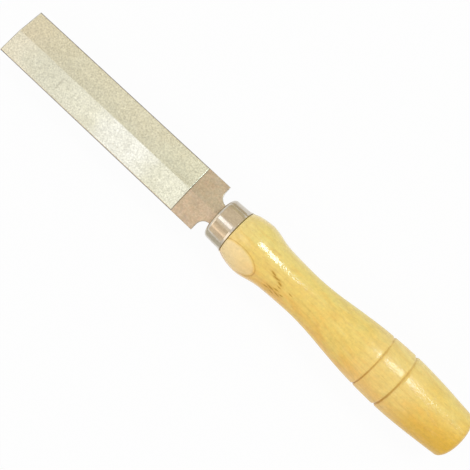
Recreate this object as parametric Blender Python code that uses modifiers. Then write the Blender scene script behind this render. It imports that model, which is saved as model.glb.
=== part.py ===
# Diamond file: a flat steel blade with a low ridge on each side and a diamond layer on both
# faces, a plated ferrule, and a turned wooden handle driven onto the blade's tang.
# World X is the file's axis, tip towards -X and butt towards +X, and the wide faces look up
# and down. The origin lies on the axis, half way between the foremost tip corner and the butt.
import math

import bmesh
import bpy

# Blade, in metres. The length runs from the middle of the tip to the shoulders.
blade_length = 0.1000
blade_width = 0.0208
ridge_thickness = 0.0022
edge_thickness = 0.0007
tip_slant = 0.0014

# Heel of the blade: a round notch on each side leads from the shoulder to the neck.
neck_width = 0.0087
neck_length = 0.0042
notch_radius = 0.0034

# Tang, hidden in the handle.
tang_depth = 0.0520
tang_end_width = 0.0032
tang_end_thickness = 0.0014

# Diamond layers. Each stops short of the long edges and the tip, and leaves the heel bare.
bare_heel_length = 0.0103
coat_thickness = 0.0002
coat_margin = 0.0003
bond_gap = 0.00005

# Ferrule: a pressed cup with a rounded front rim and a slight flare at its rear lip.
ferrule_length = 0.0085
ferrule_front_radius = 0.0086
ferrule_rear_radius = 0.0088
ferrule_wall = 0.0005
rim_radius = 0.0018
lip_length = 0.0013
lip_flare = 0.00045

# Handle, behind the ferrule. Its radii follow the widest one, and the inset is from the butt.
handle_length = 0.1028
handle_radius = 0.01115
butt_dome_length = 0.0028
rear_groove_inset = 0.0282
groove_spacing = 0.0098
front_groove_width = 0.0012
rear_groove_width = 0.0016
front_groove_depth = 0.00045
rear_groove_depth = 0.00060

# Clearances between the pieces, how far the cutters run past them, and the merging distance.
slot_clearance = 0.0003
tang_clearance = 0.0003
tenon_clearance = 0.0002
seam_gap = 0.0003
cut_overrun = 0.0010
weld_distance = 0.00001

# Share of the handle's length behind the ferrule, and of its widest radius there.
handle_profile_shares = (
    (0.000, 0.826),
    (0.030, 0.918),
    (0.085, 0.967),
    (0.120, 0.910),
    (0.165, 0.810),
    (0.240, 0.757),
    (0.325, 0.732),
    (0.400, 0.770),
    (0.500, 0.878),
    (0.590, 0.960),
    (0.680, 0.998),
    (0.760, 0.997),
    (0.850, 0.943),
    (0.920, 0.877),
    (0.973, 0.826),
)
dome_round_share = 0.60

# Counts of faces.
turned_steps = 48
body_steps = 48
dome_steps = 9
rim_steps = 6
notch_steps = 16

# Places along the axis, worked out from the sizes above.
seat_length = blade_length + neck_length + ferrule_length + seam_gap
overall_length = tip_slant / 2 + seat_length + handle_length
tip_x = (tip_slant - overall_length) / 2
shoulder_x = tip_x + blade_length
coat_end_x = shoulder_x - bare_heel_length
ferrule_x = shoulder_x + neck_length
handle_x = tip_x + seat_length
tang_end_x = ferrule_x + tang_depth


def clear_scene():
    for thing in list(bpy.data.objects):
        bpy.data.objects.remove(thing, do_unlink=True)


def make_collection(name):
    collection = bpy.data.collections.new(name)
    bpy.context.scene.collection.children.link(collection)
    return collection


def make_material(name, colour, roughness, metallic):
    material = bpy.data.materials.new(name)
    material.use_nodes = True
    shader = material.node_tree.nodes["Principled BSDF"]
    shader.inputs["Base Color"].default_value = (*colour, 1.0)
    shader.inputs["Roughness"].default_value = roughness
    shader.inputs["Metallic"].default_value = metallic
    material.diffuse_color = (*colour, 1.0)
    return material


def add_piece(name, mesh, material, collection):
    piece = bpy.data.objects.new(name, mesh)
    mesh.materials.append(material)
    collection.objects.link(piece)
    return piece


def add_cutter(name, mesh, collection):
    cutter = bpy.data.objects.new(name, mesh)
    collection.objects.link(cutter)
    cutter.hide_render = True
    cutter.display_type = "WIRE"
    return cutter


def mesh_from_bmesh(name, form):
    mesh = bpy.data.meshes.new(name)
    form.to_mesh(mesh)
    form.free()
    return mesh


def add_boolean(piece, cutter, operation):
    cut = piece.modifiers.new(cutter.name, "BOOLEAN")
    cut.operation = operation
    cut.solver = "EXACT"
    cut.object = cutter


def add_turning(piece):
    turn = piece.modifiers.new("turning", "SCREW")
    turn.axis = "Z"
    turn.angle = math.tau
    turn.steps = turned_steps
    turn.render_steps = turned_steps
    turn.use_merge_vertices = True
    turn.merge_threshold = weld_distance
    turn.use_smooth_shade = True


def profile_mesh(name, points):
    # A line of (radius, height) points at +X, from the top of the piece to its foot.
    form = bmesh.new()
    corners = [form.verts.new((radius, 0, height)) for radius, height in points]
    for upper, lower in zip(corners, corners[1:]):
        form.edges.new((upper, lower))
    return mesh_from_bmesh(name, form)


def flat_outline_mesh(name, points, half_thickness):
    # A filled flat outline in the XY plane, given its thickness and welded into one body.
    curve = bpy.data.curves.new(name, "CURVE")
    curve.dimensions = "2D"
    curve.fill_mode = "BOTH"
    curve.extrude = half_thickness
    line = curve.splines.new("POLY")
    line.points.add(len(points) - 1)
    for corner, (x, y) in zip(line.points, points):
        corner.co = (x, y, 0, 1)
    line.use_cyclic_u = True
    holder = bpy.data.objects.new(name, curve)
    bpy.context.scene.collection.objects.link(holder)
    evaluated = holder.evaluated_get(bpy.context.evaluated_depsgraph_get())
    mesh = bpy.data.meshes.new_from_object(evaluated)
    bpy.data.objects.remove(holder, do_unlink=True)
    form = bmesh.new()
    form.from_mesh(mesh)
    bmesh.ops.remove_doubles(form, verts=form.verts, dist=weld_distance)
    bmesh.ops.recalc_face_normals(form, faces=form.faces)
    form.to_mesh(mesh)
    form.free()
    return mesh


def tip_edge_x(y):
    # The tip is ground a little out of square.
    return tip_x + tip_slant * y / blade_width


def tang_taper(x, end_share):
    # 1 up to the ferrule, then down in a straight line to the end's share at the tang's end.
    travel = max(0, (x - ferrule_x) / tang_depth)
    return 1 - (1 - end_share) * travel


def steel_half_thickness(x, y):
    slope = (ridge_thickness - edge_thickness) / blade_width
    taper = tang_taper(x, tang_end_thickness / ridge_thickness)
    return taper * (ridge_thickness / 2 - slope * abs(y))


def arc_points(centre, radius, start, end, steps):
    points = []
    for step in range(steps + 1):
        angle = start + (end - start) * step / steps
        points.append((centre[0] + radius * math.cos(angle), centre[1] + radius * math.sin(angle)))
    return points


def blade_outline():
    # One side from the tip to the tang's end, then the other side back again.
    half_width = blade_width / 2
    radius = min(notch_radius, neck_length, half_width - neck_width / 2)
    notch_centre = (shoulder_x + radius, neck_width / 2 + radius)
    notch = arc_points(notch_centre, radius, math.pi, 1.5 * math.pi, notch_steps)
    side = [(shoulder_x, half_width)] + notch
    side.append((ferrule_x, neck_width / 2))
    side.append((tang_end_x, tang_end_width / 2))
    near = [(x, -y) for x, y in side]
    tip = [(tip_edge_x(half_width), half_width), (tip_edge_x(-half_width), -half_width)]
    return [tip[0]] + side + list(reversed(near)) + [tip[1]]


def section_form(collection):
    # A long bar with the blade's ridged section. It is a little longer and wider than the blade.
    length = tang_end_x - tip_x + 4 * cut_overrun
    middle = (tang_end_x + tip_x) / 2
    form = bmesh.new()
    bmesh.ops.create_cube(form, size=1)
    size = (length, blade_width + cut_overrun, ridge_thickness)
    bmesh.ops.scale(form, vec=size, verts=form.verts)
    bmesh.ops.translate(form, vec=(middle, 0, 0), verts=form.verts)
    for place, normal in (((0, 0, 0), (0, 1, 0)), ((ferrule_x, 0, 0), (1, 0, 0))):
        everything = form.verts[:] + form.edges[:] + form.faces[:]
        bmesh.ops.bisect_plane(form, geom=everything, plane_co=place, plane_no=normal)
    for corner in form.verts:
        corner.co.z = math.copysign(steel_half_thickness(corner.co.x, corner.co.y), corner.co.z)
    return add_cutter("section_form", mesh_from_bmesh("section_form", form), collection)


def make_blade(parts, cutters):
    steel = make_material("bare_steel", (0.49, 0.40, 0.29), 0.38, 1.0)
    mesh = flat_outline_mesh("file_blade", blade_outline(), ridge_thickness / 2 + cut_overrun)
    blade = add_piece("file_blade", mesh, steel, parts)
    add_boolean(blade, section_form(cutters), "INTERSECT")


def make_coat(name, side, material, parts):
    # side is 1 for the upper face and -1 for the lower one.
    reach = blade_width / 2 - coat_margin
    form = bmesh.new()
    bmesh.ops.create_grid(form, x_segments=1, y_segments=2, size=1)
    for corner in form.verts:
        y = reach * corner.co.y
        start = tip_edge_x(y) + coat_margin
        x = start if corner.co.x < 0 else coat_end_x
        corner.co = (x, y, side * (steel_half_thickness(x, y) + bond_gap))
    if side < 0:
        bmesh.ops.reverse_faces(form, faces=form.faces)
    coat = add_piece(name, mesh_from_bmesh(name, form), material, parts)
    skin = coat.modifiers.new("layer", "SOLIDIFY")
    skin.thickness = coat_thickness
    skin.offset = 1
    skin.use_even_offset = True


def make_coats(parts):
    grit = make_material("diamond_grit", (0.74, 0.69, 0.53), 0.72, 0.6)
    make_coat("diamond_coat_upper", 1, grit, parts)
    make_coat("diamond_coat_lower", -1, grit, parts)


def ferrule_profile():
    # Local height 0 is the ferrule's front face. The profile runs from the rear lip to the axis.
    lip_foot = ferrule_length - lip_length
    rim_centre = (ferrule_front_radius - rim_radius, rim_radius)
    rim = arc_points(rim_centre, rim_radius, 0, -math.pi / 2, rim_steps)
    lip = [
        (ferrule_rear_radius + lip_flare, ferrule_length),
        (ferrule_rear_radius + lip_flare / 3, lip_foot + lip_length / 2),
        (ferrule_rear_radius, lip_foot),
    ]
    return lip + rim + [(0, 0)]


def tang_slot(collection):
    # The slot in the ferrule's front, worked out from the neck that passes through it.
    size = (
        2 * (ferrule_wall + cut_overrun),
        neck_width + 2 * slot_clearance,
        ridge_thickness + 2 * slot_clearance,
    )
    form = bmesh.new()
    bmesh.ops.create_cube(form, size=1)
    bmesh.ops.scale(form, vec=size, verts=form.verts)
    bmesh.ops.translate(form, vec=(ferrule_x, 0, 0), verts=form.verts)
    return add_cutter("tang_slot", mesh_from_bmesh("tang_slot", form), collection)


def make_ferrule(parts, cutters):
    plate = make_material("plated_steel", (0.72, 0.68, 0.60), 0.12, 1.0)
    ferrule = add_piece("ferrule", profile_mesh("ferrule", ferrule_profile()), plate, parts)
    ferrule.location = (ferrule_x, 0, 0)
    ferrule.rotation_euler = (0, math.pi / 2, 0)
    add_turning(ferrule)
    wall = ferrule.modifiers.new("wall", "SOLIDIFY")
    wall.thickness = ferrule_wall
    wall.offset = -1
    wall.use_even_offset = True
    add_boolean(ferrule, tang_slot(cutters), "DIFFERENCE")


def smooth_radius(place):
    # The handle's radius at a place behind the ferrule, on a smooth curve through the shares.
    share = place / handle_length
    table = handle_profile_shares
    last = len(table) - 2
    index = max(0, min(last, sum(1 for row in table if row[0] <= share) - 1))
    left, right = table[index], table[index + 1]
    before = table[max(0, index - 1)]
    after = table[min(last + 1, index + 2)]
    span = right[0] - left[0]
    travel = (share - left[0]) / span
    left_slope = span * (right[1] - before[1]) / (right[0] - before[0])
    right_slope = span * (after[1] - left[1]) / (after[0] - left[0])
    cube, square = travel ** 3, travel ** 2
    radius_share = (
        (2 * cube - 3 * square + 1) * left[1]
        + (cube - 2 * square + travel) * left_slope
        + (3 * square - 2 * cube) * right[1]
        + (cube - square) * right_slope
    )
    return radius_share * handle_radius


def groove_points(place, width, depth):
    # A V groove: its rear edge, its foot and its front edge, as (radius, place).
    return [
        (smooth_radius(place + width / 2), place + width / 2),
        (smooth_radius(place) - depth, place),
        (smooth_radius(place - width / 2), place - width / 2),
    ]


def body_points():
    # The handle's long outer side with its two grooves, from the dome to the ferrule.
    rear_place = handle_length - rear_groove_inset
    grooves = (
        (rear_place - groove_spacing, front_groove_width, front_groove_depth),
        (rear_place, rear_groove_width, rear_groove_depth),
    )
    body_length = handle_length - butt_dome_length
    points = []
    for step in range(body_steps + 1):
        place = body_length * step / body_steps
        if all(abs(place - centre) > 0.9 * width for centre, width, depth in grooves):
            points.append((smooth_radius(place), place))
    for centre, width, depth in grooves:
        points += groove_points(centre, width, depth)
    return sorted(points, key=lambda point: -point[1])


def dome_points():
    # A full, slightly flattened dome from the axis to the handle's side.
    foot = handle_length - butt_dome_length
    edge_radius = smooth_radius(foot)
    points = []
    for step in range(dome_steps):
        angle = math.pi / 2 * step / dome_steps
        radius = edge_radius * math.sin(angle) ** dome_round_share
        points.append((radius, foot + butt_dome_length * math.cos(angle)))
    return points


def handle_profile():
    # Local height 0 is the shoulder behind the ferrule. The tenon below it fills the ferrule.
    tenon_radius = ferrule_front_radius - ferrule_wall - tenon_clearance
    tenon_length = ferrule_length - ferrule_wall
    tenon = [
        (tenon_radius, 0),
        (tenon_radius, rim_radius - tenon_length),
        (tenon_radius - rim_radius, -tenon_length),
        (0, -tenon_length),
    ]
    return dome_points() + body_points() + tenon


def tang_hole(collection):
    # The tapering hole that the tang sits in, open at the tenon's front.
    start_x = ferrule_x - cut_overrun
    end_x = tang_end_x + tang_clearance
    form = bmesh.new()
    bmesh.ops.create_cube(form, size=1)
    for corner in form.verts:
        x = start_x if corner.co.x < 0 else end_x
        half_width = neck_width / 2 * tang_taper(x, tang_end_width / neck_width)
        half_height = steel_half_thickness(x, 0)
        y = math.copysign(half_width + tang_clearance, corner.co.y)
        z = math.copysign(half_height + tang_clearance, corner.co.z)
        corner.co = (x, y, z)
    return add_cutter("tang_hole", mesh_from_bmesh("tang_hole", form), collection)


def make_handle(parts, cutters):
    wood = make_material("lacquered_wood", (0.83, 0.61, 0.25), 0.28, 0.0)
    handle = add_piece("handle", profile_mesh("handle", handle_profile()), wood, parts)
    handle.location = (handle_x, 0, 0)
    handle.rotation_euler = (0, math.pi / 2, 0)
    add_turning(handle)
    add_boolean(handle, tang_hole(cutters), "DIFFERENCE")


def main():
    clear_scene()
    parts = make_collection("diamond_file")
    cutters = make_collection("cutters")
    make_blade(parts, cutters)
    make_coats(parts)
    make_ferrule(parts, cutters)
    make_handle(parts, cutters)
    bpy.context.view_layer.update()


main()
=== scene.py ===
# Looks of the diamond file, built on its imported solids: finer meshes, their finishes, and a plain
# bright studio seen from above, with the file lying aslant across the frame.
import math

import bmesh
import bpy
from mathutils import Matrix, Vector, noise


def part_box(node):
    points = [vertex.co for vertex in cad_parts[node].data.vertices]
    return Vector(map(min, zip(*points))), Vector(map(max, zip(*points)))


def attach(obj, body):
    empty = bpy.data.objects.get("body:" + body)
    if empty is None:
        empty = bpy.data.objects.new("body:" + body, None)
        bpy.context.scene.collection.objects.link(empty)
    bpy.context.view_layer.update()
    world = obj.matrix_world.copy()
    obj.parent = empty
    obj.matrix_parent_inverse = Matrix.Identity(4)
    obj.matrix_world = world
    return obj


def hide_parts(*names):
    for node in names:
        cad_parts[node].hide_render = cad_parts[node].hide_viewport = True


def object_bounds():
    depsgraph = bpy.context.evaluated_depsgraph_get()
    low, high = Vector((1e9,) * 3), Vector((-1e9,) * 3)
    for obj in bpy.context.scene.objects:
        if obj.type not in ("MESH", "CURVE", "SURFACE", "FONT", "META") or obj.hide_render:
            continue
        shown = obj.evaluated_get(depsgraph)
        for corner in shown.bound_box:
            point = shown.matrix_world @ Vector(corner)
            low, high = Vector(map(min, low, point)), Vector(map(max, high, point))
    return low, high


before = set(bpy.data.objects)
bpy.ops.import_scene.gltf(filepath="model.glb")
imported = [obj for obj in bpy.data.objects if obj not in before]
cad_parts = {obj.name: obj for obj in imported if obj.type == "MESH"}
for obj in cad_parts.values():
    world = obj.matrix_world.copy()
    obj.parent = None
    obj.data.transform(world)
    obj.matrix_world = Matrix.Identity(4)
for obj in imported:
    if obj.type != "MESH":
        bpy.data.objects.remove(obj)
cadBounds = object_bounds()

mm = 0.001
mergeDistance = 0.002 * mm
print("stage: the packed file is loaded")

# View from above, square to the blade, with the file running from upper left to lower right.
photoView = {
    "position": (37.02 * mm, -12.56 * mm, 240.60 * mm),
    "aim": (5.425 * mm, -1.027 * mm, 0),
    "turn": math.radians(43.09),
    "lens": 52.085,
    "sensor": 36,
}


def facingMatrix(back):
    # An object's own Z runs along back, and its own X as near the file's length as it can.
    across = Vector((1, 0, 0))
    across = (across - back * across.dot(back)).normalized()
    return Matrix((across, back.cross(across), back)).transposed().to_4x4()


def addCamera(look):
    back = (Vector(look["position"]) - Vector(look["aim"])).normalized()
    data = bpy.data.cameras.new("photoCamera")
    data.lens = look["lens"]
    data.sensor_width = look["sensor"]
    camera = bpy.data.objects.new("photoCamera", data)
    bpy.context.scene.collection.objects.link(camera)
    camera.matrix_world = (
        Matrix.Translation(look["position"]) @ facingMatrix(back)
        @ Matrix.Rotation(look["turn"], 4, "Z")
    )
    bpy.context.scene.camera = camera


addCamera(photoView)
print("stage: camera placed")


# Helpers for node trees.

def fillInputs(tree, node, inputs):
    for key, value in inputs.items():
        if isinstance(value, bpy.types.NodeSocket):
            tree.links.new(value, node.inputs[key])
        else:
            node.inputs[key].default_value = value


def addNode(tree, kind, inputs=None, **settings):
    node = tree.nodes.new(kind)
    for key, value in settings.items():
        setattr(node, key, value)
    fillInputs(tree, node, inputs or {})
    return node


def reckon(tree, operation, first, second=0.0):
    inputs = {0: first, 1: second}
    return addNode(tree, "ShaderNodeMath", inputs, operation=operation).outputs[0]


def plus(tree, first, second):
    return reckon(tree, "ADD", first, second)


def less(tree, first, second):
    return reckon(tree, "SUBTRACT", first, second)


def times(tree, first, second):
    return reckon(tree, "MULTIPLY", first, second)


def fade(tree, value, low, high, start=0.0, end=1.0):
    # start below low, end above high, with a soft step between them
    inputs = {"Value": value, "From Min": low, "From Max": high, "To Min": start, "To Max": end}
    return addNode(tree, "ShaderNodeMapRange", inputs, interpolation_type="SMOOTHSTEP").outputs[0]


def mixColour(tree, factor, first, second, mode="MIX"):
    inputs = {0: factor}
    for index, value in ((6, first), (7, second)):
        inputs[index] = value if isinstance(value, bpy.types.NodeSocket) else (*value, 1)
    return addNode(tree, "ShaderNodeMix", inputs, data_type="RGBA", blend_type=mode).outputs[2]


def tinted(tree, mask, strength, first, second):
    return mixColour(tree, times(tree, mask, strength), first, second)


def shaded(tree, colour, shade):
    return mixColour(tree, 1.0, colour, shade, "MULTIPLY")


def mapped(tree, vector, location=(0, 0, 0), scale=(1, 1, 1), rotation=(0, 0, 0), kind="POINT"):
    inputs = {"Vector": vector, "Location": location, "Scale": scale, "Rotation": rotation}
    return addNode(tree, "ShaderNodeMapping", inputs, vector_type=kind).outputs[0]


def cloud(tree, vector, scale, detail=2.0, rough=0.5, warp=0.0):
    # each finish lists its clouds as scale, detail, roughness and warp
    inputs = {
        "Vector": vector, "Scale": scale, "Detail": detail, "Roughness": rough, "Distortion": warp,
    }
    return addNode(tree, "ShaderNodeTexNoise", inputs).outputs[0]


def swing(tree, value, reach):
    # a value that runs round 0.5 becomes one that runs round 0
    return times(tree, less(tree, value, 0.5), reach)


def spanOf(tree, vector):
    return addNode(tree, "ShaderNodeVectorMath", {0: vector}, operation="LENGTH").outputs["Value"]


def placeOnObject(tree):
    return addNode(tree, "ShaderNodeTexCoord").outputs["Object"]


def lengthAndWidth(tree, place):
    # X runs along the file from its tip, and Y across it
    parts = addNode(tree, "ShaderNodeSeparateXYZ", {0: place}).outputs
    return parts["X"], parts["Y"]


def pieceAttribute(tree, name):
    return addNode(tree, "ShaderNodeAttribute", attribute_name=name).outputs["Fac"]


def relief(tree, height, distance, strength=1.0, normal=None):
    inputs = {"Height": height, "Distance": distance, "Strength": strength}
    if normal is not None:
        inputs["Normal"] = normal
    return addNode(tree, "ShaderNodeBump", inputs).outputs[0]


def newMaterial(name):
    material = bpy.data.materials.new(name)
    material.use_nodes = True
    tree = material.node_tree
    return material, tree, tree.nodes["Principled BSDF"]


# Effects that several finishes share. Each finish gives the scale, so these clouds have none.
effectLook = {
    "fineCloud": (2, 0.6),
    "coarseCloud": (1, 0.5),
    "coarseShare": 0.4,  # of the fine cloud's scale
    "grainSpan": (0.36, 0.64),
    "wearCloud": (3, 0.6),
    "wearSpan": (0.35, 0.8),
    "smudgeCloud": (3, 0.55, 0.4),
    "smudgeSpan": (0.38, 0.66),
    "rubCloud": (3, 0.65),
    "rubSpan": (0.42, 0.7),
}


def startGroup(name, inputs, outputs):
    group = bpy.data.node_groups.new(name, "ShaderNodeTree")
    for label, kind, value in inputs:
        socket = group.interface.new_socket(label, in_out="INPUT", socket_type=kind)
        if value is not None:
            socket.default_value = value
    for label, kind in outputs:
        group.interface.new_socket(label, in_out="OUTPUT", socket_type=kind)
    given = group.nodes.new("NodeGroupInput").outputs
    return group, given, group.nodes.new("NodeGroupOutput").inputs


def makeSpeckle(look):
    # Grains of two sizes. Shade runs round 1, and Grain from 0 to 1.
    group, given, made = startGroup(
        "fineSpeckle",
        [("Place", "NodeSocketVector", None), ("Grains", "NodeSocketFloat", 2000.0),
         ("Contrast", "NodeSocketFloat", 0.1)],
        [("Shade", "NodeSocketFloat"), ("Grain", "NodeSocketFloat")],
    )
    coarseGrains = times(group, given["Grains"], look["coarseShare"])
    fine = cloud(group, given["Place"], given["Grains"], *look["fineCloud"])
    coarse = cloud(group, given["Place"], coarseGrains, *look["coarseCloud"])
    grain = times(group, plus(group, fine, coarse), 0.5)
    shade = swing(group, grain, given["Contrast"])
    group.links.new(plus(group, shade, 1.0), made["Shade"])
    group.links.new(fade(group, grain, *look["grainSpan"]), made["Grain"])
    return group


def makeEdgeWear(look):
    # A broken mask along the edges that a piece marks in its edge attribute.
    group, given, made = startGroup(
        "edgeWear",
        [("Place", "NodeSocketVector", None), ("Edge", "NodeSocketFloat", 0.0),
         ("Patches", "NodeSocketFloat", 900.0), ("Reach", "NodeSocketFloat", 0.5)],
        [("Mask", "NodeSocketFloat")],
    )
    patch = cloud(group, given["Place"], given["Patches"], *look["wearCloud"])
    worn = times(group, given["Edge"], plus(group, patch, given["Reach"]))
    group.links.new(fade(group, worn, *look["wearSpan"]), made["Mask"])
    return group


def makeHandling(look):
    # Smudges and hair-fine rubs left by hands and storage.
    group, given, made = startGroup(
        "handlingMarks",
        [("Place", "NodeSocketVector", None), ("Smudges", "NodeSocketFloat", 120.0),
         ("Along", "NodeSocketVector", (60.0, 900.0, 900.0))],
        [("Smudge", "NodeSocketFloat"), ("Rub", "NodeSocketFloat")],
    )
    soft = cloud(group, given["Place"], given["Smudges"], *look["smudgeCloud"])
    drawn = addNode(
        group, "ShaderNodeVectorMath", {0: given["Place"], 1: given["Along"]}, operation="MULTIPLY"
    ).outputs[0]
    fine = cloud(group, drawn, 1.0, *look["rubCloud"])
    group.links.new(fade(group, soft, *look["smudgeSpan"]), made["Smudge"])
    group.links.new(fade(group, fine, *look["rubSpan"]), made["Rub"])
    return group


speckleGroup = makeSpeckle(effectLook)
edgeWearGroup = makeEdgeWear(effectLook)
handlingGroup = makeHandling(effectLook)


def useGroup(tree, group, inputs):
    node = tree.nodes.new("ShaderNodeGroup")
    node.node_tree = group
    fillInputs(tree, node, inputs)
    return node.outputs


print("stage: shared effects ready")


# Helpers for meshes.

def mergedCopy(node):
    form = bmesh.new()
    form.from_mesh(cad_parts[node].data)
    bmesh.ops.remove_doubles(form, verts=form.verts, dist=mergeDistance)
    return form


def objectFrom(form, label):
    mesh = bpy.data.meshes.new(label)
    form.to_mesh(mesh)
    form.free()
    made = bpy.data.objects.new(label, mesh)
    bpy.context.scene.collection.objects.link(made)
    return made


def finishPiece(name, form, node, material, body="root"):
    # The bmesh becomes an object that stands for the node and rides its body.
    piece = objectFrom(form, name)
    piece.data.materials.append(material)
    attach(piece, body)
    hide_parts(node)
    return piece


def markEdges(form, name, least, most):
    # 1 at vertices where the faces turn by most or more, 0 where they turn by least or less.
    layer = form.verts.layers.float.new(name)
    for vertex in form.verts:
        turns = [edge.calc_face_angle(0) for edge in vertex.link_edges]
        share = (max(turns, default=0) - least) / (most - least)
        vertex[layer] = min(1, max(0, share))


def fromAxis(vertex):
    return math.hypot(vertex.co.y, vertex.co.z)


def markGrooves(form, name, window, depth, step):
    # 1 where a turned form lies by depth or more below what stands on both sides of it. Its
    # outline is read in rings, a step apart along X.
    layer = form.verts.layers.float.new(name)
    outline = {}
    for vertex in form.verts:
        key = round(vertex.co.x / step)
        outline[key] = max(outline.get(key, 0), fromAxis(vertex))
    rings = [(key * step, radius) for key, radius in sorted(outline.items())]
    for vertex in form.verts:
        x = vertex.co.x
        before = max((radius for place, radius in rings if x - window <= place <= x), default=0)
        after = max((radius for place, radius in rings if x <= place <= x + window), default=0)
        vertex[layer] = min(1, max(0, (min(before, after) - fromAxis(vertex)) / depth))


def bevelSharp(form, least, width, segments):
    edges = [edge for edge in form.edges if edge.is_manifold and edge.calc_face_angle(0) > least]
    bmesh.ops.bevel(
        form, geom=edges, offset=width, offset_type="OFFSET", segments=segments, profile=0.5,
        affect="EDGES", material=-1, clamp_overlap=True,
    )


def turnedFrom(node, coreRadius, coreEnd, steps):
    # The node's own outline above its axis, turned again in finer steps. What lies within
    # coreRadius up to coreEnd is the way through for the tang, and is left to the cutter.
    form = mergedCopy(node)
    everything = form.verts[:] + form.edges[:] + form.faces[:]
    bmesh.ops.bisect_plane(
        form, geom=everything, dist=mergeDistance, plane_co=(0, 0, 0), plane_no=(0, 1, 0),
        clear_inner=True, clear_outer=True,
    )
    spare = [
        vertex for vertex in form.verts
        if vertex.co.z < -mergeDistance or (vertex.co.z < coreRadius and vertex.co.x < coreEnd)
    ]
    bmesh.ops.delete(form, geom=spare, context="VERTS")
    for vertex in [v for v in form.verts if len(v.link_edges) == 1 and v.co.z > mergeDistance]:
        foot = form.verts.new((vertex.co.x, 0, 0))
        form.edges.new((vertex, foot))
    bmesh.ops.spin(
        form, geom=form.verts[:] + form.edges[:], cent=(0, 0, 0), axis=(1, 0, 0),
        angle=math.tau, steps=steps, use_merge=True,
    )
    bmesh.ops.remove_doubles(form, verts=form.verts, dist=mergeDistance)
    bmesh.ops.recalc_face_normals(form, faces=form.faces)
    return form


def taperedBar(startX, endX, startSize, endSize):
    form = bmesh.new()
    bmesh.ops.create_cube(form, size=1)
    for vertex in form.verts:
        x, size = (startX, startSize) if vertex.co.x < 0 else (endX, endSize)
        vertex.co = (x, vertex.co.y * size[0], vertex.co.z * size[1])
    return form


def cutWith(form, cutter):
    # The cutter's solid is taken out of the form, and a new bmesh comes back.
    holders = [objectFrom(form, "cutForm"), objectFrom(cutter, "cutterForm")]
    cut = holders[0].modifiers.new("wayThrough", "BOOLEAN")
    cut.operation = "DIFFERENCE"
    cut.solver = "EXACT"
    cut.object = holders[1]
    evaluated = holders[0].evaluated_get(bpy.context.evaluated_depsgraph_get())
    result = bmesh.new()
    result.from_mesh(evaluated.to_mesh())
    evaluated.to_mesh_clear()
    for holder in holders:
        bpy.data.objects.remove(holder, do_unlink=True)
    return result


# The blade: the blank's own shape with its arrises eased, in bare blasted steel.
bladeLook = {
    "arris": 0.10 * mm,
    "arrisSegments": 3,
    "arrisAngle": math.radians(25),
    "wearAngles": (math.radians(8), math.radians(28)),
    "flatAngle": math.radians(1),
    "steel": (0.462, 0.363, 0.242),
    "steelDark": (0.370, 0.292, 0.205),
    "steelPale": (0.570, 0.485, 0.375),
    "tan": (0.540, 0.350, 0.235),
    # painted shade, laid on one facet of the bare steel
    "facetShadeColour": (0.340, 0.300, 0.205),
    "rim": (0.265, 0.255, 0.260),
    # painted shade for the steel at the tip's end
    "tipShade": (0.090, 0.085, 0.080),
    "platingLine": (0.130, 0.100, 0.070),
    # how strongly each effect colours the steel
    "shares": {
        "smudge": 0.18, "rub": 0.18, "tan": 0.3, "rim": 0.9, "platingLine": 0.5, "worn": 0.6,
        "tipShade": 0.65,
    },
    "speckle": {"Grains": 3000.0, "Contrast": 1.0},
    "handling": {"Smudges": 190.0, "Along": (90.0, 1500.0, 1500.0)},
    "wear": {"Patches": 700.0, "Reach": 0.75},
    "tanPatches": 900.0,
    "tanShift": (3, 1, 2),
    "tanSpan": (0.42, 0.7),
    # painted shade on the +Y facet: its reach from the ridge, and its shares at the ridge and past
    # that reach
    "ridgeBlur": 0.15 * mm,
    "facetShadeReach": 8 * mm,
    "facetShadeShares": (0.28, 0.05),
    # the end of the plating
    "endPatches": 700.0,
    "endWander": 0.16 * mm,
    "rimSpan": (-0.2 * mm, 0.05 * mm),
    "platingLineSpan": (0.10 * mm, 0.32 * mm),
    "tipShadeSpan": (1.6 * mm, 3.2 * mm),
    "roughness": 0.36,
    "smudgeRoughness": 0.10,
    "wornPolish": 0.12,
    "grainRelief": (0.02 * mm, 0.3),
}


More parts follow.
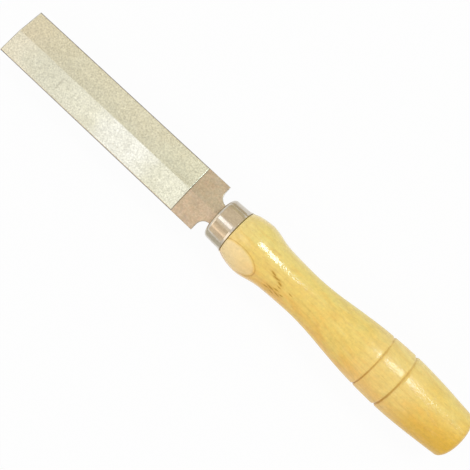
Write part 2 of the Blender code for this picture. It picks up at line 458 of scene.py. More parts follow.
def bareSteel(look, tipX, coatEnd):
    material, tree, shader = newMaterial("bareSteel")
    shares = look["shares"]
    place = placeOnObject(tree)
    x, y = lengthAndWidth(tree, place)
    speckle = useGroup(tree, speckleGroup, {"Place": place, **look["speckle"]})
    marks = useGroup(tree, handlingGroup, {"Place": place, **look["handling"]})
    colour = tinted(tree, marks["Smudge"], shares["smudge"], look["steel"], look["steelDark"])
    colour = tinted(tree, marks["Rub"], shares["rub"], colour, look["steelPale"])
    tanCloud = cloud(tree, mapped(tree, place, look["tanShift"]), look["tanPatches"])
    tan = fade(tree, tanCloud, *look["tanSpan"])
    colour = tinted(tree, tan, shares["tan"], colour, look["tan"])
    # painted shade: one facet is painted darker and more olive beside the ridge, fading away from
    # it
    facet = fade(tree, y, -look["ridgeBlur"], look["ridgeBlur"])
    facetShade = fade(tree, y, 0, look["facetShadeReach"], *look["facetShadeShares"])
    colour = mixColour(tree, times(tree, facet, facetShade), colour, look["facetShadeColour"])
    # beside and before the coat the steel is darker grey, and a dark line ends the plating
    wander = swing(tree, cloud(tree, place, look["endPatches"]), look["endWander"])
    past = plus(tree, less(tree, x, coatEnd), wander)
    ground = fade(tree, past, *look["rimSpan"], 1, 0)
    colour = tinted(tree, ground, shares["rim"], colour, look["rim"])
    line = fade(tree, reckon(tree, "ABSOLUTE", past), *look["platingLineSpan"], 1, 0)
    colour = tinted(tree, line, shares["platingLine"], colour, look["platingLine"])
    # the arrises are laid darker grey in broken patches
    edge = useGroup(tree, edgeWearGroup, {
        "Place": place, "Edge": pieceAttribute(tree, "arris"), **look["wear"],
    })
    colour = tinted(tree, edge["Mask"], shares["worn"], colour, look["rim"])
    # painted shade: the steel at the tip's end is painted nearly black, darkening what it mirrors
    # there
    near, far = look["tipShadeSpan"]
    tip = fade(tree, x, tipX + near, tipX + far, 1, 0)
    colour = tinted(tree, tip, shares["tipShade"], colour, look["tipShade"])
    colour = shaded(tree, colour, speckle["Shade"])
    tree.links.new(colour, shader.inputs["Base Color"])
    rough = plus(tree, look["roughness"], times(tree, marks["Smudge"], look["smudgeRoughness"]))
    rough = less(tree, rough, times(tree, edge["Mask"], look["wornPolish"]))
    tree.links.new(rough, shader.inputs["Roughness"])
    tree.links.new(relief(tree, speckle["Grain"], *look["grainRelief"]), shader.inputs["Normal"])
    fillInputs(tree, shader, {"Metallic": 1.0})
    return material


def makeBlade(look):
    form = mergedCopy("file_blade")
    bmesh.ops.dissolve_limit(
        form, angle_limit=look["flatAngle"], verts=form.verts, edges=form.edges
    )
    bevelSharp(form, look["arrisAngle"], look["arris"], look["arrisSegments"])
    markEdges(form, "arris", *look["wearAngles"])
    steel = bareSteel(look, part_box("file_blade")[0].x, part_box("diamond_coat_upper")[1].x)
    return finishPiece("fileBladeSteel", form, "file_blade", steel)


makeBlade(bladeLook)
print("stage: blade made")


# The two diamond coats: a close grid over each ridged face, with a low bead at the border where
# the plating builds up, and grains a little proud of the bond.
coatLook = {
    "cell": 0.25 * mm,
    "thickness": 0.19 * mm,
    "grainHeight": 0.007 * mm,
    "grainsPerMetre": 2300.0,
    "bead": 0.006 * mm,
    "beadWidth": 0.45 * mm,
    # the border's own wander, with the scales of its noise against the grains'
    "borderWander": 0.05 * mm,
    "wanderScales": (0.37, 0.41),
    "wanderShift": (7, 3, 5),
    "sideShare": 0.9,  # of the half width, past which a point lies along a side
    "bond": (0.594, 0.598, 0.484),
    "bondDeep": (0.525, 0.525, 0.408),
    "crystal": (0.775, 0.780, 0.710),
    "rubbed": (0.800, 0.785, 0.630),
    "tip": (0.650, 0.605, 0.465),
    "fouling": (0.300, 0.275, 0.200),
    "beadColour": (0.820, 0.785, 0.640),
    # how strongly each effect colours the bond
    "shares": {
        "smudge": 0.19, "rub": 0.15, "tip": 0.8, "heel": 0.5, "rubbed": 0.32, "crystal": 0.35,
        "nick": 0.45, "bead": 0.45,
    },
    "speckle": {"Grains": 3700.0, "Contrast": 1.45},
    "fineSpeckle": {"Grains": 7000.0, "Contrast": 0.5},
    "handling": {"Smudges": 75.0, "Along": (260.0, 1400.0, 1400.0)},
    "wear": {"Patches": 1500.0, "Reach": 0.7},
    # what changes along the blade drifts by this much
    "driftPatches": 120.0,
    "drift": 14 * mm,
    "tipReach": 26 * mm,
    "heelSpan": (-45 * mm, -25 * mm),
    "rubbedReach": 8.5 * mm,
    "ridgeBlur": 0.2 * mm,
    # painted shade and a painted highlight on one side: where they come in and go out along X,
    # strength, colour
    "shadeAndSheenStretches": (
        ((-100 * mm, -90 * mm), (-68 * mm, -58 * mm), 0.6, (0.525, 0.520, 0.408)),
        ((-66 * mm, -52 * mm), (-40 * mm, -30 * mm), 0.5, (0.640, 0.656, 0.620)),
    ),
    "crystalCells": 2600.0,
    "crystalSpan": (0.08, 0.30),
    "nickCloud": (1500.0, 2, 0.6),
    "nickShift": (5, 2, 0),
    "nickSpan": (0.66, 0.72),
    # a scratch and dull marks: X and Y, half length along X and half width in mm, strength
    "marks": (
        (-81.3, -4.7, 0.20, 3.5, 0.42),
        (-91.6, -5.6, 1.00, 0.40, 0.25),
        (-50.4, -7.2, 0.60, 0.25, 0.42),
        (-48.3, -7.1, 0.60, 0.22, 0.42),
        (-29.5, -6.3, 0.35, 0.35, 0.35),
    ),
    "markHeight": 1 * mm,
    "markDepth": 0.9 * mm,
    "markPatches": 1300.0,
    "markWander": 1.4,
    "markSpan": (0.5, 1.3),
    "roughness": 0.28,
    "crystalPolish": 0.08,
    "smudgeRoughness": 0.06,
    "grainRelief": (0.02 * mm, 0.3),
    "metallic": 0.9,
}


def coatTone(tree, look, x, y, drift, tipX, colour):
    shares = look["shares"]
    # the tip is yellower, fading along the blade
    along = plus(tree, x, drift)
    near = fade(tree, along, tipX, tipX + look["tipReach"], 1, 0)
    colour = tinted(tree, near, shares["tip"], colour, look["tip"])
    # painted shade: it is painted a little darker towards the handle, and one side is rubbed paler
    # towards its edge
    heel = fade(tree, along, *look["heelSpan"])
    colour = tinted(tree, heel, shares["heel"], colour, look["bondDeep"])
    rubbed = fade(tree, y, 0, look["rubbedReach"])
    colour = tinted(tree, rubbed, shares["rubbed"], colour, look["rubbed"])
    # painted shade and a painted highlight: the other side is painted duller towards the tip and
    # whitest half way along
    other = fade(tree, y, -look["ridgeBlur"], look["ridgeBlur"], 1, 0)
    for comesIn, goesOut, strength, shade in look["shadeAndSheenStretches"]:
        stretch = times(tree, fade(tree, along, *comesIn), fade(tree, along, *goesOut, 1, 0))
        colour = tinted(tree, times(tree, stretch, other), strength, colour, shade)
    return colour


def coatMarks(tree, look, place, colour):
    # a hair-fine scratch across the paler facet, and small dull marks beside it
    wander = swing(tree, cloud(tree, place, look["markPatches"]), look["markWander"])
    for x, y, halfLength, halfWidth, strength in look["marks"]:
        spot = mapped(
            tree, place, (x * mm, y * mm, look["markHeight"]),
            (halfLength * mm, halfWidth * mm, look["markDepth"]), kind="TEXTURE",
        )
        mark = fade(tree, plus(tree, spanOf(tree, spot), wander), *look["markSpan"], 1, 0)
        colour = tinted(tree, mark, strength, colour, look["fouling"])
    return colour


def diamondGrit(look, tipX):
    material, tree, shader = newMaterial("diamondGrit")
    shares = look["shares"]
    place = placeOnObject(tree)
    x, y = lengthAndWidth(tree, place)
    speckle = useGroup(tree, speckleGroup, {"Place": place, **look["speckle"]})
    fine = useGroup(tree, speckleGroup, {"Place": place, **look["fineSpeckle"]})
    marks = useGroup(tree, handlingGroup, {"Place": place, **look["handling"]})
    colour = tinted(tree, marks["Smudge"], shares["smudge"], look["bond"], look["bondDeep"])
    colour = tinted(tree, marks["Rub"], shares["rub"], colour, look["crystal"])
    drift = swing(tree, cloud(tree, place, look["driftPatches"]), look["drift"])
    colour = coatTone(tree, look, x, y, drift, tipX, colour)
    # crystals paler than the bond, partly a painted glint, and dark specks and nicks where grains
    # broke out
    cells = addNode(tree, "ShaderNodeTexVoronoi", {"Vector": place, "Scale": look["crystalCells"]})
    glint = fade(tree, cells.outputs["Distance"], *look["crystalSpan"], 1, 0)
    colour = tinted(tree, glint, shares["crystal"], colour, look["crystal"])
    nickCloud = cloud(tree, mapped(tree, place, look["nickShift"]), *look["nickCloud"])
    nick = fade(tree, nickCloud, *look["nickSpan"])
    colour = tinted(tree, nick, shares["nick"], colour, look["fouling"])
    colour = coatMarks(tree, look, place, colour)
    border = useGroup(tree, edgeWearGroup, {
        "Place": place, "Edge": pieceAttribute(tree, "border"), **look["wear"],
    })
    colour = tinted(tree, border["Mask"], shares["bead"], colour, look["beadColour"])
    colour = shaded(tree, shaded(tree, colour, speckle["Shade"]), fine["Shade"])
    tree.links.new(colour, shader.inputs["Base Color"])
    rough = less(tree, look["roughness"], times(tree, glint, look["crystalPolish"]))
    rough = plus(tree, rough, times(tree, marks["Smudge"], look["smudgeRoughness"]))
    tree.links.new(rough, shader.inputs["Roughness"])
    tree.links.new(relief(tree, fine["Grain"], *look["grainRelief"]), shader.inputs["Normal"])
    fillInputs(tree, shader, {"Metallic": look["metallic"]})
    return material


def makeCoat(name, node, side, look, material):
    # side is 1 for the upper face and -1 for the lower one.
    low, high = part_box(node)
    reach = high.y
    sideY = look["sideShare"] * reach
    outline = [vertex.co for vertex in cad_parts[node].data.vertices]
    tipNear = min(point.x for point in outline if point.y > sideY)
    tipFar = min(point.x for point in outline if point.y < -sideY)
    crown = max(abs(point.z) for point in outline)
    shoulder = max(abs(point.z) for point in outline if point.y > sideY)
    form = bmesh.new()
    across = 2 * round(reach / look["cell"])
    along = round((high.x - low.x) / look["cell"])
    bmesh.ops.create_grid(form, x_segments=along, y_segments=across, size=1)
    border = form.verts.layers.float.new("border")
    xScale, yScale = look["wanderScales"]
    for vertex in form.verts:
        u, v = (vertex.co.x + 1) / 2, vertex.co.y
        start = tipFar + (tipNear - tipFar) * (v + 1) / 2
        x = start + (high.x - start) * u
        y = reach * v
        inset = min(x - start, high.x - x, reach - abs(y))
        beadShare = max(0, 1 - inset / look["beadWidth"])
        spot = Vector((x, y, side * crown)) * look["grainsPerMetre"]
        height = crown - (crown - shoulder) * abs(v)
        height += look["grainHeight"] * (noise.noise(spot) - 1)
        height += look["bead"] * (math.sin(math.pi * beadShare) - beadShare ** 2)
        wander = look["borderWander"] * max(0, 1 - inset / look["cell"])
        x += wander * noise.noise(spot * xScale)
        y += wander * noise.noise(spot * yScale + Vector(look["wanderShift"]))
        vertex.co = (x, y, side * height)
        vertex[border] = beadShare
    if side < 0:
        bmesh.ops.reverse_faces(form, faces=form.faces)
    coat = finishPiece(name, form, node, material)
    coat.data.shade_smooth()
    skin = coat.modifiers.new("layer", "SOLIDIFY")
    skin.thickness = look["thickness"]
    skin.offset = -1
    skin.use_even_offset = True
    return coat


grit = diamondGrit(coatLook, cadBounds[0].x)
makeCoat("diamondCoatUpper", "diamond_coat_upper", 1, coatLook, grit)
makeCoat("diamondCoatLower", "diamond_coat_lower", -1, coatLook, grit)
print("stage: diamond coats made")


# The way through the ferrule and into the handle, for the neck and tang.
wayLook = {
    "clearance": 0.30 * mm,
    "neckWidth": 8.7 * mm,
    "tangEndWidth": 3.2 * mm,
    "tangEndThickness": 1.4 * mm,
    "coreRadius": 1.7 * mm,
    "slotDepth": 1.5 * mm,
    "overrun": 1 * mm,
}

bladeLow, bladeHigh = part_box("file_blade")
ferruleLow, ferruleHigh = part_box("ferrule")
neckSize = (wayLook["neckWidth"] + 2 * wayLook["clearance"],
            bladeHigh.z - bladeLow.z + 2 * wayLook["clearance"])
tangEndSize = (wayLook["tangEndWidth"] + 2 * wayLook["clearance"],
               wayLook["tangEndThickness"] + 2 * wayLook["clearance"])


# The ferrule: a pressed cup, bright plated, with a softly rounded slot and lip.
ferruleLook = {
    "steps": 128,
    "arris": 0.09 * mm,
    "arrisSegments": 3,
    "arrisAngle": math.radians(40),
    "wearAngles": (math.radians(18), math.radians(30)),
    "plating": (0.600, 0.552, 0.470),
    "worn": (0.400, 0.320, 0.225),
    # how strongly each effect colours the plating
    "shares": {"smudge": 0.22, "rub": 0.18, "worn": 0.3},
    "speckle": {"Grains": 1500.0, "Contrast": 0.5},
    "handling": {"Smudges": 330.0, "Along": (160.0, 2200.0, 2200.0)},
    "wear": {"Patches": 1100.0, "Reach": 0.45},
    "roughness": 0.09,
    "smudgeRoughness": 0.12,
    "rubRoughness": 0.05,
    "rippleStretch": (70.0, 330.0, 330.0),
    "rippleCloud": (1.0, 1, 0.4),
    "rippleRelief": (0.05 * mm, 0.6),
}


def brightPlating(look):
    material, tree, shader = newMaterial("brightPlating")
    shares = look["shares"]
    place = placeOnObject(tree)
    speckle = useGroup(tree, speckleGroup, {"Place": place, **look["speckle"]})
    marks = useGroup(tree, handlingGroup, {"Place": place, **look["handling"]})
    colour = tinted(tree, marks["Smudge"], shares["smudge"], look["plating"], look["worn"])
    colour = tinted(tree, marks["Rub"], shares["rub"], colour, look["worn"])
    edge = useGroup(tree, edgeWearGroup, {
        "Place": place, "Edge": pieceAttribute(tree, "arris"), **look["wear"],
    })
    colour = tinted(tree, edge["Mask"], shares["worn"], colour, look["worn"])
    colour = shaded(tree, colour, speckle["Shade"])
    tree.links.new(colour, shader.inputs["Base Color"])
    rough = plus(tree, look["roughness"], times(tree, marks["Smudge"], look["smudgeRoughness"]))
    rough = plus(tree, rough, times(tree, marks["Rub"], look["rubRoughness"]))
    tree.links.new(rough, shader.inputs["Roughness"])
    ripplePlace = mapped(tree, place, scale=look["rippleStretch"])
    ripple = relief(tree, cloud(tree, ripplePlace, *look["rippleCloud"]), *look["rippleRelief"])
    tree.links.new(ripple, shader.inputs["Normal"])
    fillInputs(tree, shader, {"Metallic": 1.0})
    return material


def makeFerrule(look, way):
    form = turnedFrom("ferrule", way["coreRadius"], ferruleHigh.x, look["steps"])
    slotEnd = ferruleLow.x + way["slotDepth"]
    form = cutWith(form, taperedBar(ferruleLow.x - way["overrun"], slotEnd, neckSize, neckSize))
    bevelSharp(form, look["arrisAngle"], look["arris"], look["arrisSegments"])
    markEdges(form, "arris", *look["wearAngles"])
    ferrule = finishPiece("ferruleShell", form, "ferrule", brightPlating(look))
    ferrule.data.shade_smooth()
    even = ferrule.modifiers.new("evenShading", "WEIGHTED_NORMAL")
    even.keep_sharp = True
    return ferrule


makeFerrule(ferruleLook, wayLook)
print("stage: ferrule made")


# The handle: pale turned wood under clear lacquer.
handleLook = {
    "steps": 120,
    "ringBevel": 0.14 * mm,
    "bevelSegments": 3,
    "bevelAngle": math.radians(28),
    "smoothAngle": math.radians(40),
    "grooveWindow": 1.3 * mm,
    "grooveDepth": 0.35 * mm,
    "outlineStep": 0.02 * mm,
    "honey": (0.845, 0.610, 0.134),
    "straw": (0.840, 0.680, 0.184),
    "amber": (0.860, 0.505, 0.092),
    "buttAmber": (0.740, 0.430, 0.015),
    "sapwood": (0.940, 0.715, 0.345),
    "fibre": (0.620, 0.360, 0.060),
    "ringLine": (0.520, 0.235, 0.012),
    "halo": (0.640, 0.330, 0.030),
    "pore": (0.330, 0.170, 0.025),
    "groove": (0.430, 0.190, 0.003),
    "fleck": (0.430, 0.215, 0.002),
    "grainStretch": (0.4, 1, 1),
    "tone": {
        # painted shade: the wood is painted warmer and more amber at its -Y side
        "sideShadeSpan": (20 * mm, 60 * mm),
        "sideShades": (-0.95, -0.55),  # how much warmer the wood is at its -Y side
        "growth": 0.42,  # how much warmer the butt is than the ferrule's end
        "growthCentre": 52 * mm,
        "cloud": (240.0, 3, 0.55, 0.5),
        "cloudReach": 1.7,
        "honeySpan": (-0.65, 0.05),
        "amberSpan": (0.0, 0.75),
        "buttStart": 92 * mm,
        # painted shade: the butt's amber reaches further along on the -Y side
        "buttShadeSlant": -2.0,
        "buttSpan": (-4 * mm, 26 * mm),
        "buttShare": 0.9,
        "frontSpan": (8 * mm, 18 * mm),
        "frontShare": 0.3,
        "ringedIn": (61 * mm, 68 * mm),
        "ringedOut": (83 * mm, 92 * mm),
        "ringedShare": 0.2,
    },
    "grain": {
        "streakShift": (4, 1, 3),
        "streakStretch": (0.35, 1, 1),
        "streakCloud": (480.0, 3, 0.6, 0.4),
        "warmStreak": (0.5, 0.78),
        "warmShare": 0.32,
        "paleStreak": (0.25, 0.47),
        "paleShare": 0.16,
        "pith": (0, 34 * mm, 12 * mm),
        "ringStretch": (0.10, 1, 1),
        "ringTurn": (0, math.radians(2), math.radians(3)),
        "ringRate": 3200.0,
        "wobbleCloud": (160.0, 2),
        "wobble": 3.5,
        "ringSpan": (0.35, 1.0),
        "endGrainSpan": (3.5 * mm, 1 * mm),  # in from the butt's end
        "ringShares": (0.12, 0.42),
        "fibreStretch": (60.0, 1300.0, 1300.0),
        "fibreCloud": (1.0, 4, 0.6),
        "fibreSpan": (0.42, 0.75),
        "fibreShare": 0.20,
        "poreStretch": (420.0, 2800.0, 2800.0),
        "poreCloud": (1.0, 2, 0.5),
        "poreSpan": (0.62, 0.74),
        "poreShare": 0.22,
    },
    # a pale patch beside the ferrule, and the growth line round it
    "patch": {
        "centre": (11.8 * mm, -7.9 * mm, 7.65 * mm),
        "reach": (8.6 * mm, 5.8 * mm, 5.8 * mm),
        "wanderPatches": 180.0,
        "wander": 0.10,
        "span": (0.84, 1.0),
        "alongSpan": (8 * mm, 19 * mm),
        "alongShares": (0.92, 0.60),
        "lineAt": 1.01,
        "lineSpan": (0.008, 0.048),
        "acrossSpan": (-9 * mm, -2 * mm),
        "acrossShares": (0.68, 0.42),
    },
    # pith flecks: X in mm, degrees round from the top towards +Y, half length and half width in
    # mm, turn from the grain in degrees
    "flecks": (
        (25.3, -13, 0.85, 0.22, 9),
        (27.3, -17, 1.20, 0.26, -5),
        (29.3, -22, 0.75, 0.28, 12),
        (29.9, -30, 0.70, 0.15, 3),
        (26.1, -53, 0.95, 0.24, -9),
        (27.6, -46, 1.30, 0.28, 6),
        (28.6, -56, 0.85, 0.20, 13),
        (29.6, -40, 0.80, 0.20, -8),
        (30.5, -50, 1.05, 0.22, 5),
        (32.2, -44, 0.60, 0.16, -12),
        (34.5, -25, 0.60, 0.12, 8),
    ),
    "fleckRadius": 8.65,  # in mm, as the flecks are
    "fleckDepth": 0.9,
    "fleckPatches": 1600.0,
    "fleckWander": 1.6,
    "fleckSpan": (0.5, 1.8),
    "fleckShare": 0.84,
    "haloSpan": (1.0, 4.0),
    "haloShare": 0.38,
    "scorchStretch": (3, 1, 1),
    "scorchPatches": 500.0,
    "scorchWander": 0.5,
    "scorchSpan": (0.25, 1.0),
    # painted shade: the grooves are painted darker at the -Y side than at the +Y side
    "scorchAndShadeShares": (0.74, 0.28),
    "speckle": {"Grains": 1300.0, "Contrast": 0.45},
    "handling": {"Smudges": 70.0, "Along": (30.0, 500.0, 500.0)},
    "roughness": 0.45,
    "smudgeRoughness": 0.10,
    "lacquer": {
        # waves and haze: stretch, cloud, depth, span along X and shares along it
        "wave": ((0.8, 1, 1), (1050.0, 2, 0.55), 0.10 * mm, (24 * mm, 66 * mm), (0.55, 0.8)),
        "haze": ((0.5, 1, 1), (4200.0, 1), 0.04 * mm, (24 * mm, 60 * mm), (0.05, 0.85)),
        "fibreRelief": (0.03 * mm, 0.35),
        "filmSpan": (22 * mm, 42 * mm),
        "filmShares": (0.95, 0.42),
        "sunkShare": 0.3,
        "sockets": {"Coat Roughness": 0.13, "Coat IOR": 1.5, "Specular IOR Level": 0.3},
    },
}


def woodTone(tree, look, grainPlace, x, y, low, high):
    tone = look["tone"]
    # painted shade: from greenish straw on the +Y side to amber on the -Y side, and warmer towards
    # the butt
    frontSideShade, rearSideShade = tone["sideShades"]
    sideShade = fade(tree, x, *tone["sideShadeSpan"], frontSideShade / high.y, rearSideShade / high.y)
    back = times(tree, less(tree, x, tone["growthCentre"]), tone["growth"] / (high.x - low.x))
    warmthAndShade = plus(tree, plus(tree, times(tree, y, sideShade), back),
                  swing(tree, cloud(tree, grainPlace, *tone["cloud"]), tone["cloudReach"]))
    colour = mixColour(tree, fade(tree, warmthAndShade, *tone["honeySpan"]), look["straw"], look["honey"])
    colour = mixColour(tree, fade(tree, warmthAndShade, *tone["amberSpan"]), colour, look["amber"])
    # amber at the butt, reaching further along the -Y side as painted shade
    last = plus(tree, times(tree, y, tone["buttShadeSlant"]), less(tree, x, tone["buttStart"]))
    last = fade(tree, last, *tone["buttSpan"])
    colour = tinted(tree, last, tone["buttShare"], colour, look["buttAmber"])
    # paler where the handle meets the ferrule
    near, far = tone["frontSpan"]
    front = fade(tree, x, low.x + near, low.x + far, 1, 0)
    colour = tinted(tree, front, tone["frontShare"], colour, look["sapwood"])
    # and a little paler round the grooves
    ringed = times(tree, fade(tree, x, *tone["ringedIn"]), fade(tree, x, *tone["ringedOut"], 1, 0))
    return tinted(tree, ringed, tone["ringedShare"], colour, look["sapwood"])


def woodGrain(tree, look, place, grainPlace, x, high, colour):
    grain = look["grain"]
    streakPlace = mapped(tree, place, grain["streakShift"], grain["streakStretch"])
    streak = cloud(tree, streakPlace, *grain["streakCloud"])
    warm = fade(tree, streak, *grain["warmStreak"])
    colour = tinted(tree, warm, grain["warmShare"], colour, look["amber"])
    pale = fade(tree, streak, *grain["paleStreak"], 1, 0)
    colour = tinted(tree, pale, grain["paleShare"], colour, look["sapwood"])
    # growth rings, nearly along the handle, round a pith that lies outside it
    ringPlace = mapped(tree, place, grain["pith"], grain["ringStretch"], grain["ringTurn"])
    wobble = times(tree, cloud(tree, grainPlace, *grain["wobbleCloud"]), grain["wobble"])
    turns = plus(tree, times(tree, spanOf(tree, ringPlace), grain["ringRate"]), wobble)
    rings = fade(tree, reckon(tree, "SINE", turns), *grain["ringSpan"])
    # they show best in the end grain of the butt
    far, near = grain["endGrainSpan"]
    shown = fade(tree, x, high.x - far, high.x - near, *grain["ringShares"])
    colour = mixColour(tree, times(tree, rings, shown), colour, look["fibre"])
    # fibres and pores, long and thin
    fibre = cloud(tree, mapped(tree, place, scale=grain["fibreStretch"]), *grain["fibreCloud"])
    dark = fade(tree, fibre, *grain["fibreSpan"])
    colour = tinted(tree, dark, grain["fibreShare"], colour, look["fibre"])
    pore = cloud(tree, mapped(tree, place, scale=grain["poreStretch"]), *grain["poreCloud"])
    pore = fade(tree, pore, *grain["poreSpan"])
    return tinted(tree, pore, grain["poreShare"], colour, look["pore"]), fibre


def sapwoodPatch(tree, look, place, x, y, colour):
    patch = look["patch"]
    patchPlace = mapped(tree, place, patch["centre"], patch["reach"], kind="TEXTURE")
    wander = swing(tree, cloud(tree, place, patch["wanderPatches"]), patch["wander"])
    span = plus(tree, spanOf(tree, patchPlace), wander)
    paler = times(tree, fade(tree, span, *patch["span"], 1, 0),
                  fade(tree, x, *patch["alongSpan"], *patch["alongShares"]))
    colour = mixColour(tree, paler, colour, look["sapwood"])
    line = reckon(tree, "ABSOLUTE", less(tree, span, patch["lineAt"]))
    line = times(tree, fade(tree, line, *patch["lineSpan"], 1, 0),
                 fade(tree, y, *patch["acrossSpan"], *patch["acrossShares"]))
    return mixColour(tree, line, colour, look["ringLine"])


def roundTheHandle(x, degrees, radius):
    turn = math.radians(degrees)
    return Vector((x, radius * math.sin(turn), radius * math.cos(turn))) * mm


def spanFromFleck(tree, look, place, fleck):
    # Below 1 inside a thin ellipsoid that lies along the handle's surface.
    x, degrees, halfLength, halfWidth, turn = fleck
    out = roundTheHandle(0, degrees, 1).normalized()
    grainWay = Vector((1, 0, 0))
    around = out.cross(grainWay) * -1
    along = grainWay * math.cos(math.radians(turn)) + around * math.sin(math.radians(turn))
    facing = Matrix((along, out.cross(along), out)).transposed().to_euler("XYZ")
    local = mapped(
        tree, place, roundTheHandle(x, degrees, look["fleckRadius"]),
        (halfLength * mm, halfWidth * mm, look["fleckDepth"] * mm), tuple(facing), "TEXTURE",
    )
    return spanOf(tree, local)


def pithFlecks(tree, look, place, colour):
    # each fleck has a stained border
    nearest = None
    for fleck in look["flecks"]:
        gap = spanFromFleck(tree, look, place, fleck)
        nearest = gap if nearest is None else reckon(tree, "MINIMUM", nearest, gap)
    wander = swing(tree, cloud(tree, place, look["fleckPatches"]), look["fleckWander"])
    nearest = plus(tree, nearest, wander)
    halo = fade(tree, nearest, *look["haloSpan"], 1, 0)
    colour = tinted(tree, halo, look["haloShare"], colour, look["halo"])
    mask = fade(tree, nearest, *look["fleckSpan"], 1, 0)
    return tinted(tree, mask, look["fleckShare"], colour, look["fleck"]), mask


def scorchedShadedGrooves(tree, look, place, y, high, colour):
    # the cut grooves are scorched, and lacquer gathers in them; they are painted darker on the -Y
    # side as painted shade
    patches = cloud(tree, mapped(tree, place, scale=look["scorchStretch"]), look["scorchPatches"])
    wander = swing(tree, patches, look["scorchWander"])
    groove = plus(tree, pieceAttribute(tree, "groove"), wander)
    scorchAndShade = times(tree, fade(tree, groove, *look["scorchSpan"]),
                   fade(tree, y, -high.y, high.y, *look["scorchAndShadeShares"]))
    return mixColour(tree, scorchAndShade, colour, look["groove"]), scorchAndShade


def clearLacquer(tree, look, place, x, fibre, sunk, shader):
    lacquer = look["lacquer"]
    # it ripples a little, less evenly towards the butt, and dips over the fibres
    ripple = None
    for stretch, waveCloud, depth, span, shares in (lacquer["wave"], lacquer["haze"]):
        height = cloud(tree, mapped(tree, place, scale=stretch), *waveCloud)
        ripple = relief(tree, height, depth, fade(tree, x, *span, *shares), ripple)
    ripple = relief(tree, fibre, *lacquer["fibreRelief"], ripple)
    tree.links.new(ripple, shader.inputs["Normal"])
    tree.links.new(ripple, shader.inputs["Coat Normal"])
    # it is thinner towards the butt, and thinnest where it sank into the grooves and flecks
    film = times(tree, fade(tree, x, *lacquer["filmSpan"], *lacquer["filmShares"]),
                 fade(tree, sunk, 0.0, 1.0, 1.0, lacquer["sunkShare"]))
    tree.links.new(film, shader.inputs["Coat Weight"])
    fillInputs(tree, shader, lacquer["sockets"])


def lacqueredWood(look, low, high):
    material, tree, shader = newMaterial("lacqueredWood")
    place = placeOnObject(tree)
    x, y = lengthAndWidth(tree, place)
    grainPlace = mapped(tree, place, scale=look["grainStretch"])
    colour = woodTone(tree, look, grainPlace, x, y, low, high)
    colour, fibre = woodGrain(tree, look, place, grainPlace, x, high, colour)
    colour = sapwoodPatch(tree, look, place, x, y, colour)
    colour, fleckMask = pithFlecks(tree, look, place, colour)
    colour, scorchAndShade = scorchedShadedGrooves(tree, look, place, y, high, colour)
    speckle = useGroup(tree, speckleGroup, {"Place": place, **look["speckle"]})
    colour = shaded(tree, colour, speckle["Shade"])
    tree.links.new(colour, shader.inputs["Base Color"])
    marks = useGroup(tree, handlingGroup, {"Place": place, **look["handling"]})
    rough = plus(tree, look["roughness"], times(tree, marks["Smudge"], look["smudgeRoughness"]))
    tree.links.new(rough, shader.inputs["Roughness"])
    sunk = reckon(tree, "MAXIMUM", scorchAndShade, fleckMask)
    clearLacquer(tree, look, place, x, fibre, sunk, shader)
    return material


def makeHandle(look, way):
    coreEnd = bladeHigh.x + way["overrun"]
    form = turnedFrom("handle", way["coreRadius"], coreEnd, look["steps"])
    bevelSharp(form, look["bevelAngle"], look["ringBevel"], look["bevelSegments"])
    bore = taperedBar(ferruleLow.x, bladeHigh.x + way["clearance"], neckSize, tangEndSize)
    form = cutWith(form, bore)
    markGrooves(form, "groove", look["grooveWindow"], look["grooveDepth"], look["outlineStep"])
    wood = lacqueredWood(look, *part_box("handle"))
    handle = finishPiece("handleTurned", form, "handle", wood)
    handle.data.shade_smooth()
    handle.data.set_sharp_from_angle(angle=look["smoothAngle"])
    return handle


makeHandle(handleLook, wayLook)
print("stage: handle made")


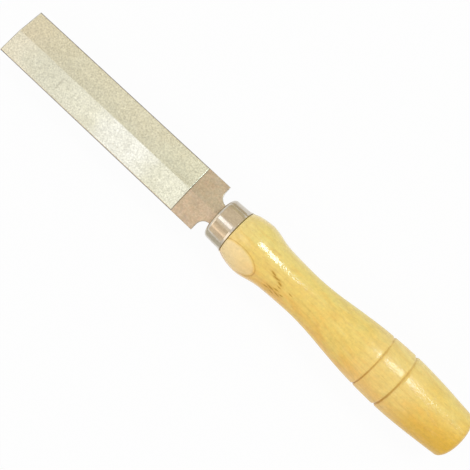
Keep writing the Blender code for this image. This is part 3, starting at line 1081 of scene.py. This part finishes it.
# Plain bright studio: four lamps, a pale floor and world, and cards that the plating mirrors.
studioLook = {
    "floorSize": 4.0,
    "floor": {"Base Color": (0.78, 0.78, 0.78, 1), "Roughness": 0.9, "Specular IOR Level": 0.1},
    "whiteShare": 0.95,
    "worldGlow": 0.68,
    # tilts along X and Y in degrees, the point on X that the lamp is aimed at, and whether it
    # lights matt surfaces and shows in bright ones
    "lamps": {
        "overheadLamp": {
            "tilts": (-17, -4.5), "distance": 0.80, "size": (0.40, 0.21), "radiance": 1.01,
            "colour": (0.98, 0.93, 1.0), "aim": -30 * mm, "lights": True, "shows": True,
        },
        "sideLamp": {
            "tilts": (13, 28), "distance": 0.90, "size": (0.28, 0.20), "radiance": 10.5,
            "colour": (1.0, 0.99, 0.97), "aim": 50 * mm, "lights": True, "shows": False,
        },
        "glintLamp": {
            "tilts": (13, 29), "distance": 0.90, "size": (0.28, 0.28), "radiance": 17.5,
            "colour": (0.62, 0.88, 1.0), "aim": 50 * mm, "lights": False, "shows": True,
        },
        "fillLamp": {
            "tilts": (0, -38), "distance": 0.90, "size": (0.60, 0.40), "radiance": 1.35,
            "colour": (1.0, 0.99, 0.97), "aim": 0, "lights": True, "shows": False,
        },
    },
    # label, tilts along X from and to, tilts along Y from and to, in degrees, colour
    "cards": (
        ("warmCardRight", -42, 22, 6, 74, (0.93, 0.81, 0.63)),
        ("darkCardRight", -42, 22, 74, 91, (0.74, 0.66, 0.47)),
        ("softCardLeft", -42, 22, -27, -16, (1.06, 0.94, 0.78)),
        ("warmCardLeft", -31, 22, -40, -27, (0.86, 0.73, 0.55)),
        ("paleCardLeft", -31, 22, -53, -40, (1.08, 0.90, 0.69)),
        ("brightCardLeft", -31, 22, -63, -53, (1.55, 1.28, 1.00)),
        ("darkCardLeft", -31, 22, -78, -63, (0.95, 0.80, 0.62)),
        ("lowCardLeft", -31, 22, -91, -78, (0.98, 0.85, 0.67)),
        ("frontCard", -80, -44, -70, 8, (1.55, 1.42, 1.25)),
        ("lipCard", -44, -31, -76, -27, (1.75, 1.60, 1.42)),
    ),
    "cardDistance": 1.3,
    # cards lying on the floor, darker than it, that only mirrored rays meet; the left one is a
    # painted shadow of the file in what the plating mirrors. Label, from and to along X, from and
    # to along Y, colour
    "floorCards": (
        ("floorCardLeft", -40 * mm, 30 * mm, -95 * mm, -21 * mm, (0.72, 0.70, 0.62)),
        ("floorCardRight", -50 * mm, 30 * mm, 50 * mm, 240 * mm, (0.66, 0.58, 0.42)),
    ),
    "floorCardLift": 0.1 * mm,
}


def towards(tiltX, tiltY):
    across = math.cos(math.radians(tiltX))
    return Vector((
        math.sin(math.radians(tiltX)),
        across * math.sin(math.radians(tiltY)),
        across * math.cos(math.radians(tiltY)),
    ))


def addLamps(look):
    for label, made in look["lamps"].items():
        data = bpy.data.lights.new(label, "AREA")
        data.shape = "RECTANGLE"
        data.size, data.size_y = made["size"]
        data.energy = made["radiance"] * math.pi * made["size"][0] * made["size"][1]
        data.color = made["colour"]
        lamp = bpy.data.objects.new(label, data)
        bpy.context.scene.collection.objects.link(lamp)
        way = towards(*made["tilts"])
        spot = Vector((made["aim"], 0, 0)) + way * made["distance"]
        lamp.matrix_world = Matrix.Translation(spot) @ facingMatrix(way)
        lamp.visible_diffuse = made["lights"]
        lamp.visible_glossy = made["shows"]


def mirroredRays(tree, rays):
    return reckon(tree, "MAXIMUM", rays["Is Glossy Ray"], rays["Is Transmission Ray"])


def addFloor(look):
    form = bmesh.new()
    bmesh.ops.create_grid(form, x_segments=1, y_segments=1, size=look["floorSize"] / 2)
    bmesh.ops.translate(form, vec=(0, 0, cadBounds[0].z), verts=form.verts)
    floor = objectFrom(form, "studioFloor")
    material, tree, shader = newMaterial("studioFloor")
    fillInputs(tree, shader, look["floor"])
    rays = addNode(tree, "ShaderNodeLightPath").outputs
    seen = times(tree, rays["Is Camera Ray"], look["whiteShare"])
    share = reckon(tree, "MAXIMUM", seen, mirroredRays(tree, rays))
    glow = addNode(tree, "ShaderNodeEmission", {"Color": (1, 1, 1, 1), "Strength": 1.0})
    layers = {0: share, 1: shader.outputs[0], 2: glow.outputs[0]}
    both = addNode(tree, "ShaderNodeMixShader", layers)
    tree.links.new(both.outputs[0], tree.nodes["Material Output"].inputs["Surface"])
    floor.data.materials.append(material)


def addCard(label, corners, colour):
    form = bmesh.new()
    form.faces.new([form.verts.new(corner) for corner in corners])
    card = objectFrom(form, label)
    card.visible_camera = False
    card.visible_diffuse = False
    card.visible_shadow = False
    card.visible_transmission = False
    material, tree = newMaterial(label)[:2]
    glow = addNode(tree, "ShaderNodeEmission", {"Color": (*colour, 1), "Strength": 1.0})
    tree.links.new(glow.outputs[0], tree.nodes["Material Output"].inputs["Surface"])
    card.data.materials.append(material)


def addCards(look):
    # Cards that only mirrored rays meet. They give the bright plating something to reflect.
    for label, startX, endX, startY, endY, colour in look["cards"]:
        tilts = ((startX, startY), (endX, startY), (endX, endY), (startX, endY))
        corners = [look["cardDistance"] * towards(tiltX, tiltY) for tiltX, tiltY in tilts]
        addCard(label, corners, colour)
    z = cadBounds[0].z + look["floorCardLift"]
    for label, startX, endX, startY, endY, colour in look["floorCards"]:
        spots = ((startX, startY), (endX, startY), (endX, endY), (startX, endY))
        addCard(label, [(x, y, z) for x, y in spots], colour)


def addWorld(look):
    world = bpy.data.worlds.new("studioWorld")
    bpy.context.scene.world = world
    world.use_nodes = True
    tree = world.node_tree
    ground = tree.nodes["Background"]
    rays = addNode(tree, "ShaderNodeLightPath").outputs
    plain = reckon(tree, "MAXIMUM", rays["Is Camera Ray"], mirroredRays(tree, rays))
    ground.inputs["Color"].default_value = (1, 1, 1, 1)
    tree.links.new(fade(tree, plain, 0.0, 1.0, look["worldGlow"], 1.0), ground.inputs["Strength"])


addLamps(studioLook)
addFloor(studioLook)
addCards(studioLook)
addWorld(studioLook)
bpy.context.scene.view_settings.view_transform = "Standard"
print("stage: studio lit")
